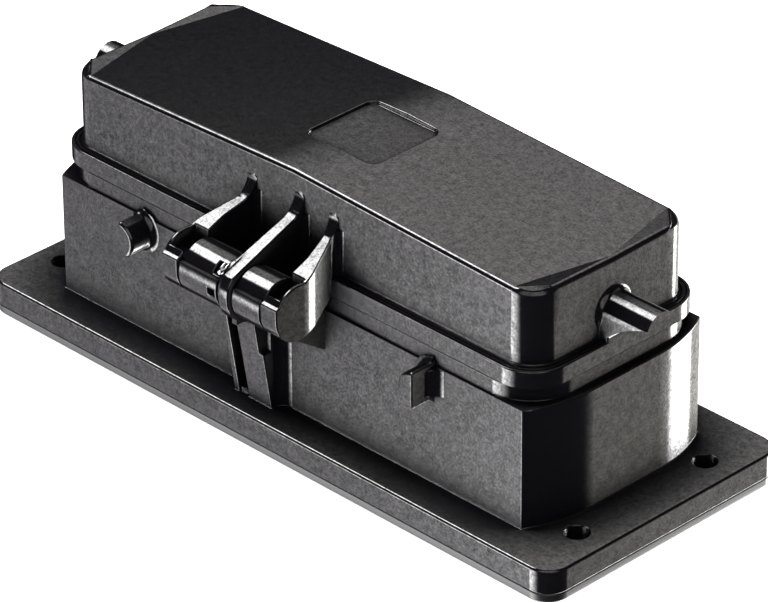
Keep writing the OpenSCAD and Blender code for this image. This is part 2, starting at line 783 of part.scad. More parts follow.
cage_top = seat_height + lap;
cage_height = 9.4;
screw_z = cage_top - 5.4;
cage_room = 0.1;
terminal_head_h = 1.3;
terminal_reach = 3;
fixing_head_h = 2.4;
contact_bore_depth = 9;
// Wall between a contact's bore and the inner face of its cage
cage_inner = 0.9;
// Inner (0) and outer (1) limits of a cage pocket, measured from the middle plane
function cage_y(edge) =
  row_spacing / 2 - contact_d / 2 - cage_inner + edge * (cage_depth + 2 * cage_room);

module contacts(side) {
  color("gold") for (i = [0 : contact_columns - 1])
    translate([column_x(i), side * row_spacing / 2, 0]) difference() {
      translate([0, 0, cage_top]) cylinder(d = contact_d, h = mating_z - contact_recess - cage_top);
      translate([0, 0, mating_z - contact_recess - contact_bore_depth])
        cylinder(d = contact_bore_d, h = contact_bore_depth + 1);
    }
}

module cages(side) {
  color("silver") for (i = [0 : contact_columns - 1])
    translate([column_x(i), 0, 0]) difference() {
      translate([-cage_length / 2, (side > 0 ? cage_y(0) : -cage_y(1)) + cage_room,
                 cage_top - cage_height])
        cube([cage_length, cage_depth, cage_height]);
      translate([0, side * row_spacing / 2, cage_top - cage_height - 1])
        cylinder(d = wire_bore_d, h = cage_height - 1);
      translate([0, side * row_spacing / 2, screw_z]) rotate([side * -90, 0, 0])
        cylinder(d = terminal_screw_d + 2 * seat_clearance, h = cage_depth);
    }
}

module slotted_head(d, h) {
  slot = 0.8;
  difference() {
    cylinder(d = d, h = h);
    translate([-d, -slot / 2, h / 2]) cube([2 * d, slot, h]);
  }
}

module terminal_screws(side) {
  color("silver") for (i = [0 : contact_columns - 1])
    translate([column_x(i), side * (cage_y(1) - cage_room), screw_z]) rotate([side * -90, 0, 0]) {
      slotted_head(terminal_head_d, terminal_head_h);
      translate([0, 0, -terminal_reach])
        cylinder(d = terminal_screw_d, h = terminal_reach + terminal_head_h / 4);
    }
}

module fixing_screw(k) {
  s = corner_signs[k - 1];
  color("silver") translate([s[0] * fixing_x, s[1] * fixing_y, plate_top]) {
    slotted_head(fixing_head_d, fixing_head_h);
    translate([0, 0, -insert_plate_thickness - bush_length + 1.5])
      cylinder(d = fixing_screw_d, h = insert_plate_thickness + bush_length - 1);
  }
}

module bush(k) {
  s = corner_signs[k - 1];
  color("goldenrod") translate([s[0] * fixing_x, s[1] * fixing_y, seat_height - bush_length])
    difference() {
      cylinder(d = bush_d, h = bush_length);
      translate([0, 0, -1]) cylinder(d = bush_bore_d, h = bush_length + 2);
    }
}

// Earth terminal: plate, clamp and nut
earth_size = [6, 12, 1.2];
clamp_size = [6, 6, 1.2];
nut_height = 2.6;
nut_r = 3;
earth_head = [5.6, 2.2];

module earth_plate(end) {
  color("silver") translate([end * earth_x, 0, plate_top]) difference() {
    translate([-earth_size[0] / 2, -earth_size[1] / 2, 0]) cube(earth_size);
    translate([0, 0, -1]) cylinder(d = fixing_screw_d + 2 * seat_clearance, h = earth_size[2] + 2);
  }
}

module earth_clamp(end) {
  color("goldenrod") translate([end * earth_x, 0, plate_top + earth_size[2]]) difference() {
    translate([-clamp_size[0] / 2, -clamp_size[1] / 2, 0]) cube(clamp_size);
    translate([0, 0, -1]) cylinder(d = fixing_screw_d + 2 * seat_clearance, h = clamp_size[2] + 2);
  }
}

module earth_screw(end) {
  head_z = plate_top + earth_size[2] + clamp_size[2];
  reach = head_z - seat_height + nut_height + 0.6;
  color("silver") translate([end * earth_x, 0, head_z]) {
    slotted_head(earth_head[0], earth_head[1]);
    translate([0, 0, -reach]) cylinder(d = fixing_screw_d, h = reach + 0.4);
  }
}

module earth_nut(end) {
  color("goldenrod") translate([end * earth_x, 0, seat_height - nut_height]) difference() {
    linear_extrude(nut_height) polygon([for (k = [0 : 5]) nut_r * [cos(60 * k), sin(60 * k)]]);
    translate([0, 0, -1]) cylinder(d = bush_bore_d, h = nut_height + 2);
  }
}

base_housing();
cover();
hinge_pin();
torsion_spring();
panel_seal();
rim_seal();
contact_insert();
contacts(-1);  // contacts_front
contacts(1);  // contacts_back
cages(-1);  // cages_front
cages(1);  // cages_back
terminal_screws(-1);  // terminal_screws_front
terminal_screws(1);  // terminal_screws_back
for (k = [1 : 4]) {
  fixing_screw(k);
  bush(k);
}
earth_plate(-1);  // earth_plate_left
earth_plate(1);  // earth_plate_right
earth_clamp(-1);  // earth_clamp_left
earth_clamp(1);  // earth_clamp_right
earth_screw(-1);  // earth_screw_left
earth_screw(1);  // earth_screw_right
earth_nut(-1);  // earth_nut_left
earth_nut(1);  // earth_nut_right
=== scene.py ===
"""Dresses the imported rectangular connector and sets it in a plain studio.

The CAD frame gives every place: the moulded parts are bevelled copies of CAD nodes,
and the small metal and rubber parts are surfaces computed with numpy.
"""

import json
import logging
import math
from dataclasses import dataclass, field
from enum import Enum
from typing import Callable, Optional, Sequence

import bmesh
import bpy
import numpy as np
from mathutils import Matrix, Vector


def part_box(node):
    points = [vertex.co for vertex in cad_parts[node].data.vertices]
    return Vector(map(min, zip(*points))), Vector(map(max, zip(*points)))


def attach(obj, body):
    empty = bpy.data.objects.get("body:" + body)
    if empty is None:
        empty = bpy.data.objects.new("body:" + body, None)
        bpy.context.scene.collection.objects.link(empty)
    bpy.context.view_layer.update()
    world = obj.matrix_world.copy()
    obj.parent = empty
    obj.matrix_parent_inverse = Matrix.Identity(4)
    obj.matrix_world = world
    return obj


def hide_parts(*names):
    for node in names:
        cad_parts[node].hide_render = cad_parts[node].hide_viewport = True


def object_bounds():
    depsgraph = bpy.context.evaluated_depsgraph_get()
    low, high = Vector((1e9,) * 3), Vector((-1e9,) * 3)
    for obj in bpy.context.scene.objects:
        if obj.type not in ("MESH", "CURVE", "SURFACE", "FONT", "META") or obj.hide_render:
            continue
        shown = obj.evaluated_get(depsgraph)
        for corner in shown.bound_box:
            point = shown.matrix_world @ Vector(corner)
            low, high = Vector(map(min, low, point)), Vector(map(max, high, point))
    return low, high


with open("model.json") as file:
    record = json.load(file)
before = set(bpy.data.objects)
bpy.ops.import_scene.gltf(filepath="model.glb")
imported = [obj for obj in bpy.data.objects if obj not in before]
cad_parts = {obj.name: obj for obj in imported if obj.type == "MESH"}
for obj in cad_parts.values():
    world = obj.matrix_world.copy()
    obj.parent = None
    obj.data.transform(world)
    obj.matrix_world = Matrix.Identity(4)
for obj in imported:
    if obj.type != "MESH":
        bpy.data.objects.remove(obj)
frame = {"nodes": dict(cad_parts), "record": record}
CAD_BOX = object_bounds()

LOG = logging.getLogger("connector")
MM = 0.001


class Body(Enum):
    """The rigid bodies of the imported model."""

    BASE = "base"
    COVER = "cover_body"


class Slot(Enum):
    """The record's material slots."""

    BODY = "body_plastic"
    COVER = "cover_plastic"
    STEEL = "steel"
    SPRING = "spring_steel"
    BRASS = "brass"
    CONTACT = "contact_metal"
    INSERT = "insert_plastic"
    SEAL = "seal_rubber"


# ---------------------------------------------------------------- node helpers

def link(tree: bpy.types.NodeTree, source: bpy.types.NodeSocket,
         target: bpy.types.NodeSocket) -> None:
    """Joins an output socket to an input socket."""
    tree.links.new(source, target)


def add_node(tree: bpy.types.NodeTree, kind: str, **settings: object) -> bpy.types.Node:
    """Adds a node and sets its attributes.

    Args:
        tree: The node tree to add to.
        kind: The node's type name without the prefix, such as "Math".
        settings: Attributes of the node.

    Returns:
        The new node.
    """
    node = tree.nodes.new("ShaderNode" + kind)
    for name, value in settings.items():
        setattr(node, name, value)
    return node


def feed(tree: bpy.types.NodeTree, socket: bpy.types.NodeSocket, value: object) -> None:
    """Sets a socket to a value or links it to another socket.

    Args:
        tree: The node tree that holds the socket.
        socket: The input socket.
        value: A number, a vector or an output socket.
    """
    if isinstance(value, bpy.types.NodeSocket):
        link(tree, value, socket)
    else:
        socket.default_value = value


def math_node(tree: bpy.types.NodeTree, operation: str, a: object, b: object = 0.0,
              kind: str = "Math") -> bpy.types.NodeSocket:
    """Adds a Math or VectorMath node.

    Args:
        tree: The node tree to add to.
        operation: The node's operation.
        a: First value or socket.
        b: Second value or socket.
        kind: "Math" or "VectorMath".

    Returns:
        The node's first output.
    """
    node = add_node(tree, kind, operation=operation)
    feed(tree, node.inputs[0], a)
    feed(tree, node.inputs[1], b)
    return node.outputs[0]


def smooth_step(tree: bpy.types.NodeTree, value: object, start: float, end: float,
                low: float = 0.0, high: float = 1.0) -> bpy.types.NodeSocket:
    """Maps a value from one range to another with an S-shaped rise, clamped outside.

    Args:
        tree: The node tree to add to.
        value: The number or socket to map.
        start: The value that gives low.
        end: The value that gives high.
        low: Result at the start.
        high: Result at the end.

    Returns:
        The result's socket.
    """
    node = add_node(tree, "MapRange", interpolation_type="SMOOTHSTEP")
    feed(tree, node.inputs["Value"], value)
    for name, number in (("From Min", start), ("From Max", end), ("To Min", low), ("To Max", high)):
        node.inputs[name].default_value = number
    return node.outputs["Result"]


def new_group(name: str, inputs: Sequence[tuple[str, str, object]],
              outputs: Sequence[tuple[str, str]]
              ) -> tuple[bpy.types.NodeTree, bpy.types.Node, bpy.types.Node]:
    """Makes an empty shader node group with its sockets.

    Args:
        name: The group's name.
        inputs: Name, socket type and default value of each input.
        outputs: Name and socket type of each output.

    Returns:
        The group's tree, its input node and its output node.
    """
    tree = bpy.data.node_groups.new(name, "ShaderNodeTree")
    for label, kind, default in inputs:
        socket = tree.interface.new_socket(name=label, in_out="INPUT", socket_type=kind)
        socket.default_value = default
    for label, kind in outputs:
        tree.interface.new_socket(name=label, in_out="OUTPUT", socket_type=kind)
    return tree, tree.nodes.new("NodeGroupInput"), tree.nodes.new("NodeGroupOutput")


# Mould grain: scale of the fine noise, and scale and share of the coarse one
GRAIN_SCALE = 2400.0
COARSE_SCALE, COARSE_SHARE = 0.33, 0.6
# What centres the sum of both noises on zero, and its gain to about -1 to 1
GRAIN_MIDDLE, GRAIN_GAIN = 0.8, 4.0
GRAIN_DETAIL = 1.0
GRAIN_BUMP = 0.1
GRAIN_DEPTH = 0.02 * MM

# Painted crevice shade: how far to look, and the open share from which the gloss rises to full
CREVICE_REACH = 14 * MM
CREVICE_SAMPLES = 6
CREVICE_START, CREVICE_SPAN = 0.48, 0.32
# Painted shade on level faces near walls: upward normal parts between which a surface turns level,
# and what that adds
LEVEL_FROM, LEVEL_TO = 0.8, 0.97
LEVEL_LIFT, LEVEL_POWER = 0.19, 0.9


def grain_group() -> bpy.types.NodeTree:
    """Builds the group for the fine speckle of moulded plastic.

    Two noises, one fine and one three times as coarse, are added and centred on zero.
    The sum varies the brightness, roughness or coat, and the fine one gives a bump.

    Returns:
        The group, with outputs Speckle (about -1 to 1) and Normal.
    """
    tree, source, target = new_group(
        "MouldGrain",
        [("Scale", "NodeSocketFloat", GRAIN_SCALE), ("Bump", "NodeSocketFloat", GRAIN_BUMP)],
        [("Speckle", "NodeSocketFloat"), ("Normal", "NodeSocketVector")])
    place = add_node(tree, "TexCoord").outputs["Object"]
    fine = add_node(tree, "TexNoise", noise_dimensions="3D")
    coarse = add_node(tree, "TexNoise", noise_dimensions="3D")
    for node, factor in ((fine, 1.0), (coarse, COARSE_SCALE)):
        link(tree, place, node.inputs["Vector"])
        scale = math_node(tree, "MULTIPLY", source.outputs["Scale"], factor)
        link(tree, scale, node.inputs["Scale"])
        node.inputs["Detail"].default_value = GRAIN_DETAIL
    share = math_node(tree, "MULTIPLY", coarse.outputs["Fac"], COARSE_SHARE)
    total = math_node(tree, "ADD", fine.outputs["Fac"], share)
    centred = math_node(tree, "SUBTRACT", total, GRAIN_MIDDLE)
    link(tree, math_node(tree, "MULTIPLY", centred, GRAIN_GAIN), target.inputs["Speckle"])
    bump = add_node(tree, "Bump")
    bump.inputs["Distance"].default_value = GRAIN_DEPTH
    link(tree, source.outputs["Bump"], bump.inputs["Strength"])
    link(tree, fine.outputs["Fac"], bump.inputs["Height"])
    link(tree, bump.outputs["Normal"], target.inputs["Normal"])
    return tree


def crevice_shade_group() -> bpy.types.NodeTree:
    """Builds the group that paints shade into the gloss at the foot of a wall and inside gaps.

    The share of open surroundings within reach is mapped to 0..1 with an S-shaped rise.
    A level surface needs more of it than a wall, so it takes more painted shade: its start lies
    higher by LEVEL_LIFT, and the result is raised to the power 1 + LEVEL_POWER.

    Returns:
        The group, with output Openness, 0 in a crevice, where the painted shade is full, and 1 in
        the open.
    """
    tree, source, target = new_group(
        "CreviceShade", [("Reach", "NodeSocketFloat", CREVICE_REACH)],
        [("Openness", "NodeSocketFloat")])
    around = add_node(tree, "AmbientOcclusion", samples=CREVICE_SAMPLES)
    link(tree, source.outputs["Reach"], around.inputs["Distance"])
    split = add_node(tree, "SeparateXYZ")
    link(tree, add_node(tree, "NewGeometry").outputs["Normal"], split.inputs[0])
    level = smooth_step(tree, split.outputs[2], LEVEL_FROM, LEVEL_TO)
    lift = math_node(tree, "MULTIPLY", level, LEVEL_LIFT)
    share = math_node(tree, "SUBTRACT", around.outputs["AO"], lift)
    power = math_node(tree, "ADD", math_node(tree, "MULTIPLY", level, LEVEL_POWER), 1.0)
    opened = smooth_step(tree, share, CREVICE_START, CREVICE_START + CREVICE_SPAN)
    link(tree, math_node(tree, "POWER", opened, power), target.inputs["Openness"])
    return tree


# ---------------------------------------------------------------- finishes

@dataclass(frozen=True)
class Groups:
    """The shader node groups that the finishes share."""

    grain: bpy.types.NodeTree
    crevice: bpy.types.NodeTree


@dataclass(frozen=True)
class Finish:
    """One procedural material: a principled shader driven by the shared groups.

    A speckle is the share by which the grain changes the value that it is named after.
    """

    name: str
    colour: tuple[float, float, float]
    roughness: float
    slot: Slot
    metallic: float = 0.0
    specular: float = 0.5
    colour_speckle: float = 0.0
    rough_speckle: float = 0.0
    bump: float = 0.0
    coat: float = 0.0
    coat_speckle: float = 0.0
    coat_ior: float = 1.5
    coat_roughness: float = 0.1

    def build(self, groups: Groups) -> bpy.types.Material:
        """Makes the material.

        Args:
            groups: The shared groups.

        Returns:
            The material.
        """
        material = bpy.data.materials.new(self.name)
        material.use_nodes = True
        material.diffuse_color = (*self.colour, 1.0)
        tree = material.node_tree
        shader = tree.nodes["Principled BSDF"]
        shader.inputs["Metallic"].default_value = self.metallic
        shader.inputs["Base Color"].default_value = (*self.colour, 1.0)
        shader.inputs["Roughness"].default_value = self.roughness
        shader.inputs["Specular IOR Level"].default_value = self.specular
        group = add_node(tree, "Group", node_tree=groups.grain)
        group.inputs["Bump"].default_value = self.bump
        speckle = group.outputs["Speckle"]
        if self.bump:
            link(tree, group.outputs["Normal"], shader.inputs["Normal"])
        if self.colour_speckle:
            vary = add_node(tree, "HueSaturation")
            vary.inputs["Color"].default_value = (*self.colour, 1.0)
            gain = math_node(tree, "MULTIPLY", speckle, self.colour_speckle)
            link(tree, math_node(tree, "ADD", gain, 1.0), vary.inputs["Value"])
            link(tree, vary.outputs["Color"], shader.inputs["Base Color"])
        if self.rough_speckle:
            change = math_node(tree, "MULTIPLY", speckle, self.rough_speckle * self.roughness)
            link(tree, math_node(tree, "ADD", change, self.roughness), shader.inputs["Roughness"])
        if self.coat:
            shader.inputs["Coat IOR"].default_value = self.coat_ior
            shader.inputs["Coat Roughness"].default_value = self.coat_roughness
            change = math_node(tree, "MULTIPLY", speckle, self.coat_speckle * self.coat)
            # Painted shade: the coat's gloss is multiplied by the openness, so it fades in crevices
            # and on level faces beside walls
            unshaded_share = add_node(tree, "Group", node_tree=groups.crevice).outputs["Openness"]
            gloss = math_node(tree, "ADD", change, self.coat)
            shaded_gloss = math_node(tree, "MULTIPLY", gloss, unshaded_share)
            link(tree, shaded_gloss, shader.inputs["Coat Weight"])
        return material


MOULDED = dict(roughness=0.5, specular=0.0, bump=0.03, coat=0.7, coat_speckle=0.38,
               coat_ior=1.7, coat_roughness=0.11)
PLASTIC = (0.004, 0.0035, 0.0048)
FINISHES = (
    Finish("BlackMould", PLASTIC, slot=Slot.BODY, **MOULDED),
    Finish("BlackMouldCover", PLASTIC, slot=Slot.COVER, **MOULDED),
    Finish("ZincPlate", (0.62, 0.62, 0.64), 0.28, Slot.STEEL, metallic=1.0, rough_speckle=0.2),
    Finish("SpringWire", (0.42, 0.42, 0.43), 0.25, Slot.SPRING, metallic=1.0, rough_speckle=0.2),
    Finish("Brass", (0.72, 0.52, 0.24), 0.3, Slot.BRASS, metallic=1.0, rough_speckle=0.2),
    Finish("SilverPlate", (0.82, 0.81, 0.78), 0.22, Slot.CONTACT, metallic=1.0, rough_speckle=0.15),
    Finish("InsertGrey", (0.42, 0.41, 0.38), 0.5, Slot.INSERT, colour_speckle=0.05, bump=0.1),
    Finish("SealRubber", (0.012, 0.012, 0.013), 0.3, Slot.SEAL, colour_speckle=0.1, bump=0.1),
)


@dataclass
class Palette:
    """The built materials, found by slot."""

    materials: dict[Slot, bpy.types.Material] = field(default_factory=dict)

    def build(self) -> None:
        """Makes every finish once."""
        groups = Groups(grain_group(), crevice_shade_group())
        for finish in FINISHES:
            self.materials[finish.slot] = finish.build(groups)

    def paint(self, piece: bpy.types.Object, slot: Slot) -> None:
        """Gives a piece the finish of one record slot and lets it mirror the studio only.

        Args:
            piece: The piece to paint.
            slot: The record's slot.
        """
        piece.data.materials.clear()
        piece.data.materials.append(self.materials[slot])
        piece.visible_glossy = False

    def paint_cad(self) -> None:
        """Gives every CAD node the finish of its record slot."""
        slots = {part["node"]: Slot(part["material_slot"]) for part in frame["record"]["subparts"]}
        for name, node in frame["nodes"].items():
            node.data.materials.clear()
            node.data.materials.append(self.materials[slots[name]])
            node.visible_glossy = False


# ---------------------------------------------------------------- studio

@dataclass(frozen=True)
class Lobe:
    """One soft-edged patch of the studio's surroundings.

    Azimuth is 0 towards -Y and 90 towards +X, in degrees, and elevation is 90 straight up.
    Inside its core ranges the patch has its full radiance, and it fades to nothing over soft.
    """

    azimuth: tuple[float, float]
    elevation: tuple[float, float]
    soft_azimuth: tuple[float, float]
    soft_elevation: tuple[float, float]
    radiance: float
    tint: tuple[float, float, float] = (1.0, 1.0, 1.0)


SKY = (
    Lobe((-75, -44), (-70, -12), (25, 12), (10, 10), 1.3, (1.0, 0.97, 1.0)),
    Lobe((-42, -32), (-70, -12), (4.5, 6), (10, 8), 1.2, (1.0, 0.98, 0.99)),
    Lobe((-38, -32), (-70, -12), (6, 34), (10, 8), 11.0),
    Lobe((145, 200), (-70, -8), (18, 25), (10, 8), 2.1, (1.0, 0.98, 0.92)),
    Lobe((153, 172), (-70, -5), (6, 5), (10, 8), 18.0),
    Lobe((190, 240), (28.2, 80), (30, 25), (2.6, 8), 0.8, (1.0, 0.97, 0.98)),
    Lobe((190, 240), (36, 80), (30, 25), (8.5, 8), 1.0, (1.0, 0.985, 0.92)),
    Lobe((15, 75), (12, 60), (20, 20), (12, 12), 1.3),
    Lobe((258, 292), (47, 60), (8, 8), (5, 5), 20.0),
)


@dataclass
class Studio:
    """Camera, surroundings and floor, set up for the object's main view.

    The camera's values were fitted to the photograph. The seam is how many degrees before
    a lobe its azimuths start, and the floor's glow is seen by the camera alone.
    """

    azimuth: float = 45.457
    elevation: float = 30.521
    roll: float = -0.334
    focal_px: float = 5724.4
    centre_px: tuple[float, float] = (374.73, 357.95)
    distance: float = 1019.7 * MM
    target_z: float = 6.5 * MM
    image_px: tuple[int, int] = (768, 602)
    sensor_mm: float = 36.0
    clip: tuple[float, float] = (0.05, 20.0)
    ambient: float = 0.03
    seam: float = 120.0
    floor_half: float = 3.0
    floor_grey: float = 0.9
    floor_glow: float = 0.8

    def camera(self) -> None:
        """Places the camera from the fitted azimuth, elevation, roll and distance."""
        a, e, r = (math.radians(v) for v in (self.azimuth, self.elevation, self.roll))
        level = Vector((math.cos(a), math.sin(a), 0.0))
        forward = Vector((-math.sin(a) * math.cos(e), math.cos(a) * math.cos(e), -math.sin(e)))
        rise = level.cross(forward)
        right = math.cos(r) * level + math.sin(r) * rise
        up = math.cos(r) * rise - math.sin(r) * level
        scale = self.distance / self.focal_px
        shift_x = (self.centre_px[0] - self.image_px[0] / 2) * scale
        shift_y = (self.centre_px[1] - self.image_px[1] / 2) * scale
        aim = Vector((0, 0, self.target_z)) - shift_x * right + shift_y * up
        data = bpy.data.cameras.new("Camera")
        data.sensor_width = self.sensor_mm
        data.lens = self.focal_px / self.image_px[0] * self.sensor_mm
        data.clip_start, data.clip_end = self.clip
        camera = bpy.data.objects.new("Camera", data)
        bpy.context.scene.collection.objects.link(camera)
        turn = Matrix((right, up, -forward)).transposed().to_4x4()
        camera.matrix_world = Matrix.Translation(aim - self.distance * forward) @ turn
        bpy.context.scene.camera = camera

    def sky_group(self) -> bpy.types.NodeTree:
        """Builds the group that turns a direction into the surroundings' colour.

        Each lobe is the product of four S-shaped edges in azimuth and elevation,
        times its radiance and tint, and the lobes and a low ambient are added up.

        Returns:
            The group, with input Direction and output Color.
        """
        tree, source, target = new_group(
            "StudioSky", [("Direction", "NodeSocketVector", (0, 0, 1))],
            [("Color", "NodeSocketColor")])
        split = add_node(tree, "SeparateXYZ")
        link(tree, source.outputs["Direction"], split.inputs[0])
        x, y, z = split.outputs
        turned_y = math_node(tree, "MULTIPLY", y, -1.0)
        azimuth = math_node(tree, "DEGREES", math_node(tree, "ARCTAN2", x, turned_y))
        elevation = math_node(tree, "DEGREES", math_node(tree, "ARCSINE", z))
        total: object = (0.0, 0.0, 0.0)
        for lobe in SKY:
            low_az, high_az = lobe.azimuth
            turned = math_node(tree, "WRAP", azimuth, low_az - self.seam + 360.0)
            turned.node.inputs[2].default_value = low_az - self.seam
            low_el, high_el = lobe.elevation
            edges = (
                smooth_step(tree, turned, low_az - lobe.soft_azimuth[0], low_az),
                smooth_step(tree, turned, high_az, high_az + lobe.soft_azimuth[1], 1.0, 0.0),
                smooth_step(tree, elevation, low_el - lobe.soft_elevation[0], low_el),
                smooth_step(tree, elevation, high_el, high_el + lobe.soft_elevation[1], 1.0, 0.0))
            strength: object = lobe.radiance
            for edge in edges:
                strength = math_node(tree, "MULTIPLY", edge, strength)
            tinted = add_node(tree, "VectorMath", operation="SCALE")
            tinted.inputs[0].default_value = lobe.tint
            link(tree, strength, tinted.inputs["Scale"])
            total = math_node(tree, "ADD", total, tinted.outputs[0], "VectorMath")
        lit = math_node(tree, "ADD", total, (self.ambient,) * 3, "VectorMath")
        link(tree, lit, target.inputs["Color"])
        return tree

    def surroundings(self) -> None:
        """Lights the scene with the sky group, and shows white to camera and transmission rays."""
        world = bpy.data.worlds.new("Studio")
        bpy.context.scene.world = world
        world.use_nodes = True
        tree = world.node_tree
        tree.nodes.clear()
        sky = add_node(tree, "Group", node_tree=self.sky_group())
        link(tree, add_node(tree, "TexCoord").outputs["Generated"], sky.inputs["Direction"])
        lit = add_node(tree, "Background")
        link(tree, sky.outputs["Color"], lit.inputs["Color"])
        white = add_node(tree, "Background")
        white.inputs["Color"].default_value = (1, 1, 1, 1)
        mix = add_node(tree, "MixShader")
        path = add_node(tree, "LightPath").outputs
        plain = math_node(tree, "MAXIMUM", path["Is Camera Ray"], path["Is Transmission Ray"])
        link(tree, plain, mix.inputs["Fac"])
        link(tree, lit.outputs[0], mix.inputs[1])
        link(tree, white.outputs[0], mix.inputs[2])
        output = add_node(tree, "OutputWorld")
        link(tree, mix.outputs[0], output.inputs["Surface"])

    def floor(self) -> None:
        """Lays a plain pale floor under the part."""
        half, low = self.floor_half, CAD_BOX[0][2]
        corners = [(-half, -half, low), (half, -half, low), (half, half, low), (-half, half, low)]
        mesh = bpy.data.meshes.new("Floor")
        mesh.from_pydata(corners, [], [(0, 1, 2, 3)])
        floor = bpy.data.objects.new("Floor", mesh)
        bpy.context.scene.collection.objects.link(floor)
        material = bpy.data.materials.new("PaleFloor")
        material.use_nodes = True
        tree = material.node_tree
        shader = tree.nodes["Principled BSDF"]
        shader.inputs["Base Color"].default_value = (*(self.floor_grey,) * 3, 1)
        shader.inputs["Roughness"].default_value = 1.0
        shader.inputs["Specular IOR Level"].default_value = 0.0
        shader.inputs["Emission Color"].default_value = (1, 1, 1, 1)
        seen = add_node(tree, "LightPath").outputs["Is Camera Ray"]
        glow = math_node(tree, "MULTIPLY", seen, self.floor_glow)
        link(tree, glow, shader.inputs["Emission Strength"])
        mesh.materials.append(material)
        floor.visible_glossy = False
        floor.visible_shadow = False

    def build(self) -> None:
        """Sets up the whole studio."""
        bpy.context.scene.view_settings.view_transform = "Standard"
        self.camera()
        self.surroundings()
        self.floor()


# ---------------------------------------------------------------- mesh helpers

def read(source: Sequence[bpy.types.bpy_struct], name: str, width: int = 1,
         kind: type = np.float32) -> np.ndarray:
    """Reads one property of every element of a mesh.

    Args:
        source: The elements, such as a mesh's loops.
        name: The property.
        width: Numbers per element.
        kind: The numbers' type.

    Returns:
        The numbers, in one row per element where width is more than 1.
    """
    values = np.empty(len(source) * width, kind)
    source.foreach_get(name, values)
    return values.reshape(-1, width) if width > 1 else values


def starts_of(sizes: np.ndarray) -> np.ndarray:
    """Returns where each group starts, for groups of these sizes laid end to end."""
    return np.concatenate([[0], np.cumsum(sizes)[:-1]])


@dataclass(frozen=True)
class EdgeTable:
    """What the rounding rules need to know about a mesh's edges.

    Attributes:
        ends: The two end points of each edge, shape (edges, 2, 3).
        angle: The angle between the two faces at each edge, 0 at open edges.
        level: The smaller of the two faces' upward normal parts.
    """

    ends: np.ndarray
    angle: np.ndarray
    level: np.ndarray

    @classmethod
    def measure(cls, mesh: bpy.types.Mesh) -> "EdgeTable":
        """Measures every edge of a mesh.

        Each loop names its edge and its face. Sorting the loops by edge brings the two
        faces of an edge together, and the angle is the arc cosine of the product of
        their normals.

        Args:
            mesh: The mesh to measure.

        Returns:
            The filled table.
        """
        edge_of = read(mesh.loops, "edge_index", kind=np.int32)
        sizes = read(mesh.polygons, "loop_total", kind=np.int32)
        normals = read(mesh.polygons, "normal", 3)
        corners = read(mesh.edges, "vertices", 2, np.int32)
        face_of = np.repeat(np.arange(len(sizes)), sizes)
        order = np.argsort(edge_of, kind="stable")
        counts = np.bincount(edge_of, minlength=len(mesh.edges))
        starts = starts_of(counts)
        paired = counts == 2
        first = normals[face_of[order[starts[paired]]]]
        second = normals[face_of[order[starts[paired] + 1]]]
        angle = np.zeros(len(mesh.edges))
        level = np.zeros(len(mesh.edges))
        angle[paired] = np.arccos(np.clip((first * second).sum(1), -1, 1))
        level[paired] = np.minimum(first[:, 2], second[:, 2])
        return cls(read(mesh.vertices, "co", 3)[corners], angle, level)


@dataclass(frozen=True)
class RoundedPlan:
    """A rounded rectangle in plan, centred on the origin."""

    length: float
    width: float
    radius: float

    def distance(self, points: np.ndarray) -> np.ndarray:
        """Measures how far points lie from the outline.

        The corner centres are subtracted from the absolute coordinates. What is left
        over outwards is a length, what is left over inwards is the nearer side.

        Args:
            points: Points, of which the first two coordinates count.

        Returns:
            Each point's distance, negative inside.
        """
        left = np.abs(points[..., :2]) - (np.array([self.length, self.width]) / 2 - self.radius)
        outward = np.linalg.norm(np.maximum(left, 0), axis=-1)
        return outward + np.minimum(left.max(axis=-1), 0) - self.radius

    def outline(self, steps: int) -> tuple[np.ndarray, np.ndarray]:
        """Walks once around the outline, anticlockwise.

        Args:
            steps: Points on each corner's arc.

        Returns:
            The points and their outward normals, each of shape (4 * steps, 2).
        """
        quarter = np.linspace(0, math.pi / 2, steps)
        turn = np.concatenate([quarter + k * math.pi / 2 for k in range(4)])
        normal = np.stack([np.cos(turn), np.sin(turn)], axis=1)
        signs = np.repeat(np.array([[1, 1], [-1, 1], [-1, -1], [1, -1]]), steps, axis=0)
        centre = signs * (np.array([self.length, self.width]) / 2 - self.radius)
        return centre + self.radius * normal, normal


def grid_faces(rows: int, columns: int, close_rows: bool, close_columns: bool) -> np.ndarray:
    """Lists the quads of a grid of points numbered row by row.

    Args:
        rows: Points along the first direction.
        columns: Points along the second direction.
        close_rows: Whether the last row joins the first.
        close_columns: Whether the last column joins the first.

    Returns:
        Point numbers, shape (quads, 4).
    """
    i = np.arange(rows if close_rows else rows - 1)[:, None]
    j = np.arange(columns if close_columns else columns - 1)[None, :]
    after_i, after_j = (i + 1) % rows, (j + 1) % columns
    return np.stack([i * columns + j, after_i * columns + j,
                     after_i * columns + after_j, i * columns + after_j], axis=-1).reshape(-1, 4)


# Points of a computed piece that lie nearer than this are one point
SHELL_WELD = 1e-4 * MM


